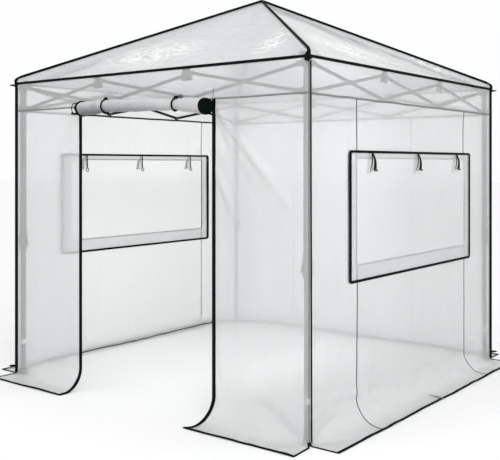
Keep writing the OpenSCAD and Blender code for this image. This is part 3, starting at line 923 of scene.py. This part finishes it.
def hipShape(side, alongX, alongY):
    # from below the eave round the lifted corner and up to the peak, widest at the corner
    rise = np.linspace(0.02, 1, 50)
    hipZ = eaveZ + roof["lift"] + tapes["hipOut"]
    path = np.stack((half * (1 - rise), -half * (1 - rise), hipZ + rise * (peakZ + tapes["hipOut"] - hipZ)), -1)
    path = turned(path, side)
    aside = 0.0 if side else tapes["hipAside"]
    bend = [(alongX * (half + out - share * aside), alongY * (half + out), eaveZ + z)
            for out, share, z in ((0.004, 1.0, -0.022), (0.005, 0.7, 0.004), (0.004, 0.2, 0.028))]
    path = np.concatenate((curveThrough(bend + [tuple(path[0])], 6)[:-1], path))
    hip = tapes["hip"][side]
    cap = np.exp(-(((path[:, 2] - eaveZ - 0.002) / tapes["capReach"]) ** 2))
    wide = hip + (tapes["cap"][min(side, 1)] - hip) * cap
    return tubeShape(path, (alongX, -alongY, 0), wide, hip * 0.8)


def makeCornerAndRoofTapes():
    corners, hips, eaves = [], [], []
    for side, (alongX, alongY) in enumerate(((1, -1), (1, 1), (-1, 1), (-1, -1))):
        corners.append(cornerShape(side, alongX, alongY))
        hips.append(hipShape(side, alongX, alongY))
        s = np.linspace(-half + tapes["eaveShort"], half - tapes["eaveShort"], 90)
        eaves.append(strapOn(side, onFront(s, 0.002, eaveZ + 0.003), tapes["eave"], tapes["eaveThick"], up))
    cap = [(0.004, -0.02), (0.018, -0.018), (0.024, -0.006), (0.018, 0.002), (0.004, 0.004)]
    hips.append(latheShape(cap, (0, 0, peakZ + 0.004), up))
    makePiece("cornerTape", joined(corners), tape, ("corner_binding",))
    makePiece("roofTape", joined(hips + eaves), tape, ("roof_binding",))


def makeSeams():
    lines, bands, inner = [], [], []
    for name, place in (("filmRight", holeHalf), ("filmLeft", holeHalf), ("filmBack", doorHalf)):
        grid, cols = grids[name]
        for x in (-place, place):
            column = int(np.argmin(np.abs(cols - x)))
            line, beside = grid[:, column], grid[:, column + 1]
            normal = unit(np.cross(np.gradient(line, axis=0), beside - line))
            lines.append(tubeShape(line + normal * 0.0012, beside - line, tapes["seam"], 0.0016, 6))
    s = np.linspace(-half + tapes["eaveShort"], half - tapes["eaveShort"], 120)
    for side in range(4):
        z = seamZ + waves(s, s, tapes["seamWander"], 300 + side)
        bands.append(strapOn(side, onFront(s, 0.0015, z), tapes["valanceSeam"], tapes["seamThick"], up))
        if side:
            inner.append(strapOn(side, onFront(s, -0.004, z), tapes["innerSeam"], tapes["seamThick"], up))
    makePiece("valanceSeam", joined(bands), seamBand, ())
    makePiece("innerSeam", joined(inner), innerBand, ())
    makePiece("wallSeams", joined(lines), seamThread, ())


makeSkirtTapes()
makeCornerAndRoofTapes()
makeSeams()
print("tapes made")


roll = {
    "endRadius": 0.046, "leftMore": 0.004, "midRadius": 0.0385, "coreRadius": 0.008, "turns": 9, "perTurn": 22,
    "cols": 72, "oval": 1.18, "leftHeight": seamZ - 0.023, "rightHeight": seamZ - 0.046,
    "midHeight": seamZ - 0.010, "out": 0.058, "leftEnd": 0.090, "thickness": 0.0013, "tape": 0.016,
    "tapeSteps": 208, "tapeThick": 0.0056, "lastTurnThick": 0.011, "lean": 60, "doorLength": 1.75,
    "wander": (0.004, 0.25, 0.25), "lumps": (0.07, 0.10, 0.9), "dents": (0.08, 0.06, 2.0),
    "waists": ((-0.247, 0.10, 0.035), (0.330, 0.24, 0.060)),  # place, depth and width of each tie's waist
}
# the rolled door's film; its shade colour is painted shade on the roll's outer turn, darkest at the left end and gone
# at the right
rolledLook = filmLook | {
    "colour": (0.80, 0.81, 0.815), "cloudColour": (0.75, 0.76, 0.765), "alpha": 0.80, "shadeDrift": 0.16,
    "shadeFade": (-0.30, 0.40), "shadeColour": (0.30, 0.32, 0.325),
}


def rollSize(x):
    share = np.abs(x) / doorHalf
    radius = roll["midRadius"] + (roll["endRadius"] + roll["leftMore"] * (x < 0) - roll["midRadius"]) * share ** 2.2
    waist = sum(deep * np.exp(-(((x - place) / wide) ** 2)) for place, deep, wide in roll["waists"])
    end = np.where(x < 0, roll["leftHeight"], roll["rightHeight"])
    height = roll["midHeight"] + (end - roll["midHeight"]) * share ** 2
    return radius * (1 - waist), height + waves(x, x, roll["wander"], 205)


def rollPoints(x, turn, grow=0.0):
    # points on the roll: turn counts from its core, and the last turn ends at the top rear
    radius, height = rollSize(x)
    share = turn / roll["turns"]
    size = roll["coreRadius"] + (radius - roll["coreRadius"]) * share + grow
    angle = (turn - roll["turns"]) * 2 * math.pi + math.radians(roll["lean"])
    lumps = waves(x, np.cos(angle), roll["lumps"], 201)
    lumps = lumps + waves(x - 0.10 * np.sin(angle), np.sin(angle), roll["dents"], 202)
    size = size * (1 + lumps * share)
    return onFront(x, roll["out"] - np.cos(angle) * size * roll["oval"], height + np.sin(angle) * size)


def makeRoll():
    left, right = -doorHalf + roll["leftEnd"], doorHalf - 0.002
    xs = np.linspace(left, right, roll["cols"])
    turn = np.linspace(0, roll["turns"], roll["turns"] * roll["perTurn"] + 1)
    grid = rollPoints(*np.meshgrid(xs, turn))
    last = grid[-1]
    hang = onFront(xs, 0.004, seamZ + 0.004)
    grid = np.concatenate((grid, np.array([last + (hang - last) * k for k in (0.35, 0.7, 1.0)])))
    steps = np.concatenate(([0], np.cumsum(np.linalg.norm(np.diff(grid[:, 0], axis=0), axis=1))))
    uvs = np.stack(np.broadcast_arrays(xs[None], steps[:, None]), -1)
    outer = steps[(roll["turns"] - 1) * roll["perTurn"]]
    girth = steps[roll["turns"] * roll["perTurn"]] - outer
    # painted shade on a band of the roll's outer turn, from its front down towards its underside
    look = rolledLook | {"shade": (outer + 0.22 * girth, outer + 0.50 * girth)}
    piece = makePiece("doorFilm", sheetShape(grid[::-1], uvs[::-1], roll["thickness"]), makeFilm("rolledFilm", look),
                      ("door_roll",))
    parts = []
    turn = np.linspace(1.0, roll["turns"], roll["tapeSteps"])
    for place in (left, right):
        path = rollPoints(np.full(len(turn), place), turn)
        parts.append(tubeShape(path, (1, 0, 0), roll["tape"], roll["tapeThick"], 6))
    turn = np.linspace(roll["turns"] - 1, roll["turns"], 40)
    path = rollPoints(np.full(len(turn), left), turn, 0.002)
    parts.append(tubeShape(path, (1, 0, 0), roll["tape"], roll["lastTurnThick"], 8, 0.8))
    plug = spoolProfile((0.003, 0.008), (0.019, 0.0075), 0.020)
    height = float(rollSize(np.array(right))[1])
    parts.append(latheShape(plug, (right, -half - roll["out"], height), (1, 0, 0)))
    makePiece("doorEdgeTape", joined(parts), tape, ("door_roll",))


doorTie = {
    "round": (0.011, 0.009), "strap": (0.012, 0.0025), "loose": (0.009, 0.007), "ringStrap": (0.014, 0.013),
    "ring": 0.027, "wire": 0.0065, "hook": 0.006,
}


def makeDoorTies():
    cords, knots = [], []
    full = np.linspace(0, 1, 30)
    spool = spoolProfile((0.004, 0.012), (0.0085, 0.010), 0.009)
    for x, _, _ in roll["waists"]:
        loop = rollPoints(x + 0.006 * np.sin(full * 6.28), roll["turns"] - 1 + full, 0.004)
        cords.append(tubeShape(loop, (1, 0, 0), *doorTie["round"], 8, 1.0))
        size, height = (float(value) for value in rollSize(np.array(x)))
        top = np.array((x, -half - roll["out"], height + size + 0.006))
        knots.append(latheShape(spool, top + (0.004, -0.004, 0.002), (1, 0, 0.25), 12))
        path = curveThrough([top, (x + 0.004, -half - 0.03, seamZ + 0.03), (x, -half - 0.004, seamZ + 0.03)])
        cords.append(tubeShape(path, (1, 0, 0), *doorTie["strap"]))
    # the right tie's loose end and its lower knot
    path = curveThrough(top + np.array([(0, 0, 0), (0.03, 0, 0.003), (0.065, 0.004, -0.006)]))
    cords.append(tubeShape(path, up, *doorTie["loose"]))
    knots.append(latheShape(spool, top - (-0.004, 0.010, 2 * size + 0.008), (1, 0, -0.2), 12))
    # the ring at the roll's left end, and the strap through it
    buckle = np.array((roll["leftEnd"] - doorHalf - 0.054, -half - 0.066, roll["leftHeight"] + 0.010))
    knots.append(ringShape(buckle, doorTie["ring"], doorTie["wire"], (0.3, -1, 0), 1.25))
    path = curveThrough(buckle + np.array([(-0.032, 0, -0.031), (0, -0.002, -0.035), (0.05, 0.01, -0.030)]))
    cords.append(tubeShape(path, (0, 1, 0), *doorTie["ringStrap"]))
    makePiece("doorTies", joined(cords), webbing, ("door_roll_ties",))
    makePiece("doorKnots", joined(knots), blackPlastic, ())
    hook = [(doorHalf + 0.012, -half + 0.02, seamZ + 0.085), (doorHalf + 0.010, -half - 0.004, seamZ + 0.05),
            (doorHalf + 0.014, -half - 0.006, seamZ + 0.01)]
    shape = tubeShape(curveThrough(hook), (1, 0, 0), doorTie["hook"], doorTie["hook"], 8, 1.0)
    makePiece("doorCord", shape, paleCord, ())


makeRoll()
makeDoorTies()
print("rolled door made")


ties = {
    "at": 0.575, "inside": (0.009, 0.002), "lead": (0.010, 0.0025), "tail": (0.014, 0.034), "tailThick": 0.0035,
    "drop": 0.10, "ring": 0.011, "ringWire": 0.006, "loop": 0.009, "loopWire": 0.003,
}


def makeWindowTies():
    black, rings, grey, toggles = [], [], [], []
    topZ = flapHigh.z - 0.006
    spool = spoolProfile((0.003, 0.017), (0.006, 0.015), 0.0065)

    def hung(place, points):
        # each point is aside, out and down from the tie's top
        aside, out, down = np.array(points).T
        return curveThrough(onFront(place + aside, out, topZ - down))

    for side in (1, 3):
        for place in (-ties["at"], 0.0, ties["at"]):
            inside = hung(place, [(0, -0.004, 0), (0.002, -0.008, 0.04), (0.004, -0.012, 0.096)])
            black.append(strapOn(side, inside, *ties["inside"]))
            centre = turned((place + 0.004, -half + 0.012, topZ - 0.108), side)
            rings.append(ringShape(centre, ties["ring"], ties["ringWire"], turned((0.25, 1, 0), side), 1.15))
            out = flaps["out"]
            lead = hung(place, [(-0.002, out + 0.008, 0), (-0.010, 0.020, 0.045), (-0.014, 0.016, 0.088)])
            black.append(strapOn(side, lead, *ties["lead"]))
            centre = turned((place - 0.015, -half - 0.016, topZ - 0.096), side)
            grey.append(ringShape(centre, ties["loop"], ties["loopWire"], turned((0.2, 1, 0), side)))
            tail = hung(place, [(0.002, out + 0.009, 0), (0.014, 0.024, 0.045), (0.026, 0.018, ties["drop"])])
            black.append(strapOn(side, tail, np.linspace(*ties["tail"], len(tail)), ties["tailThick"]))
            centre = turned((place + 0.030, -half - 0.02, topZ - ties["drop"]), side)
            toggles.append(latheShape(spool, centre, turned((1, 0, -0.1), side), 12))
    makePiece("windowTies", joined(black), webbing, ("window_ties",))
    makePiece("windowRings", joined(rings), darkPlastic, ())
    makePiece("windowLoops", joined(grey), greyWebbing, ())
    makePiece("windowToggles", joined(toggles), darkPlastic, ())


straps = {"top": 0.060, "low": 0.090, "aside": 0.02, "length": 0.070, "thick": 0.003}


def makeTrussStraps():
    parts = []
    z = np.linspace(strapHigh + 0.004, strapHigh + 0.004 - straps["length"], 8)
    width = np.interp(z, (z[-1], z[0]), (straps["low"], straps["top"]))
    for side in range(4):
        for joint in range(1, bayCount):
            x = joint * bayWidth - trussHalf - straps["aside"]
            path = onFront(x, -0.005 - 0.006 * ((z[0] - z) / 0.06) ** 2, z)
            parts.append(strapOn(side, path, width, straps["thick"]))
    makePiece("eaveStraps", joined(parts), greyWebbing, ("truss_straps",))


guy = {"width": 0.018, "thick": 0.0065, "high": (eaveZ - 0.009, 0.046), "low": (0.055, 0.050), "gap": 0.003}


def makeGuyLoops():
    # a loop at each corner of the eave, and one at the ground except at the front right corner
    parts = []
    out, gap = np.array((1, -1, 0)) / math.sqrt(2), guy["gap"]
    for side in range(4):
        for z, reach in (guy["high"], guy["low"]) if side else (guy["high"],):
            bend = ((-0.006, gap), (0.5 * reach, gap), (reach, 0), (0.5 * reach, -gap), (-0.006, -gap))
            loop = curveThrough([np.array((half, -half, z)) + away * out + rise * up for away, rise in bend], 5)
            parts.append(strapOn(side, loop, guy["width"], guy["thick"], (1, 1, 0)))
    makePiece("guyLoops", joined(parts), webbing, ("guy_loops",))


stakes = {"tip": 0.004, "wide": 0.034, "thick": 0.0025}


def makeStakePatches():
    # pale patches for ground stakes, from the top of the skirt to under its edge
    edge = half + skirtReach
    stake = curveThrough([(0, 0.105 - edge, 0.016), (0, 0.05 - edge, 0.014), (0, -edge - 0.006, 0.012),
                          (0, 0.004 - edge, 0.005)], 5)
    wide = np.linspace(stakes["tip"], stakes["wide"], len(stake))
    parts = [strapOn(side, stake, wide, stakes["thick"]) for side in (1, 2, 3)]
    makePiece("stakePatches", joined(parts), seamBand, ())


caps = {"face": 0.0095, "steps": 14}  # face is how far the caps sit from the middle of the bars


def makePivotCaps():
    dome = [(0.0115, -0.0025), (0.0135, 0.0), (0.0125, 0.0018), (0.008, 0.0045), (0.0015, 0.0052)]
    parts = []
    for side in range(4):
        for bay in range(bayCount + 1):
            x = bay * bayWidth - trussHalf
            places = [(x, trussLow), (x, trussHigh)]
            if bay < bayCount:
                places.append((x + 0.5 * bayWidth, (trussLow + trussHigh) / 2))
            for x, z in places:
                for way in (-1, 1):
                    centre = turned((x, trussY + way * caps["face"], z), side)
                    parts.append(latheShape(dome, centre, turned((0, way, 0), side), caps["steps"]))
    makePiece("pivotCaps", joined(parts), darkPlastic, ())


latch = {
    "top": 0.918, "low": 0.852, "buttonZ": 0.884, "buttonOut": 0.018, "legFace": 0.0155, "wide": 0.020,
    "slim": 0.016, "thick": 0.026,
}


def makeLatchLevers():
    # the flared lever of each leg's height latch, on the side that faces along the wall
    width = latch["wide"] - latch["slim"] * smooth(np.linspace(0, 1, 10))
    face = legAt - latch["legFace"]
    z = np.linspace(latch["top"], latch["low"], 10)
    path = np.stack((face - width / 2, 0 * z - legAt, z), -1)
    button = spoolProfile((0.002, 0.014), (0.0065, 0.012), 0.007)
    parts = []
    for side in range(4):
        parts.append(strapOn(side, path, width, latch["thick"], sides=8, square=0.45))
        centre = turned((face - latch["buttonOut"], -legAt, latch["buttonZ"]), side)
        parts.append(latheShape(button, centre, turned((0, 1, 0), side), 12))
    makePiece("latchLevers", joined(parts), darkPlastic, ())


band = {"z": 0.22, "inner": 0.0135, "width": 0.032, "thick": 0.002}


def makeLegBands():
    # the pale collar round each inner leg
    inner = band["inner"]
    corners = [(inner, inner), (-inner, inner), (-inner, -inner), (inner, -inner)]
    ring = np.array([(legAt + x, y - legAt, band["z"]) for x, y in corners])
    path = np.concatenate([np.linspace(a, b, 6)[:-1] for a, b in zip(ring, np.roll(ring, -1, 0))])
    parts = [strapOn(side, path, band["width"], band["thick"], up, closed=True) for side in range(4)]
    makePiece("legBands", joined(parts), palePlastic, ())


makeWindowTies()
makeTrussStraps()
makeGuyLoops()
makeStakePatches()
makePivotCaps()
makeLatchLevers()
makeLegBands()
print("straps and fittings made")


def finishNodes():
    looks = {"leg_": legSteel, "inner_leg_": legSteel, "truss_": trussSteel, "roof_rafters": trussSteel,
             "leg_latches": darkPlastic, "top_brackets": darkPlastic, "slider_brackets": darkPlastic,
             "roof_hub": darkPlastic}
    for name, node in frame["nodes"].items():
        if node.hide_render:
            continue
        best = max((key for key in looks if name.startswith(key)), key=len)
        node.data.materials.clear()
        node.data.materials.append(looks[best])
    print("shown CAD nodes:", sum(not node.hide_render for node in frame["nodes"].values()))


finishNodes()

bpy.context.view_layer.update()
added = [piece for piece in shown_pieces() if "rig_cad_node" not in piece]
print("triangles added:", sum(len(face.vertices) - 2 for piece in added for face in piece.data.polygons))
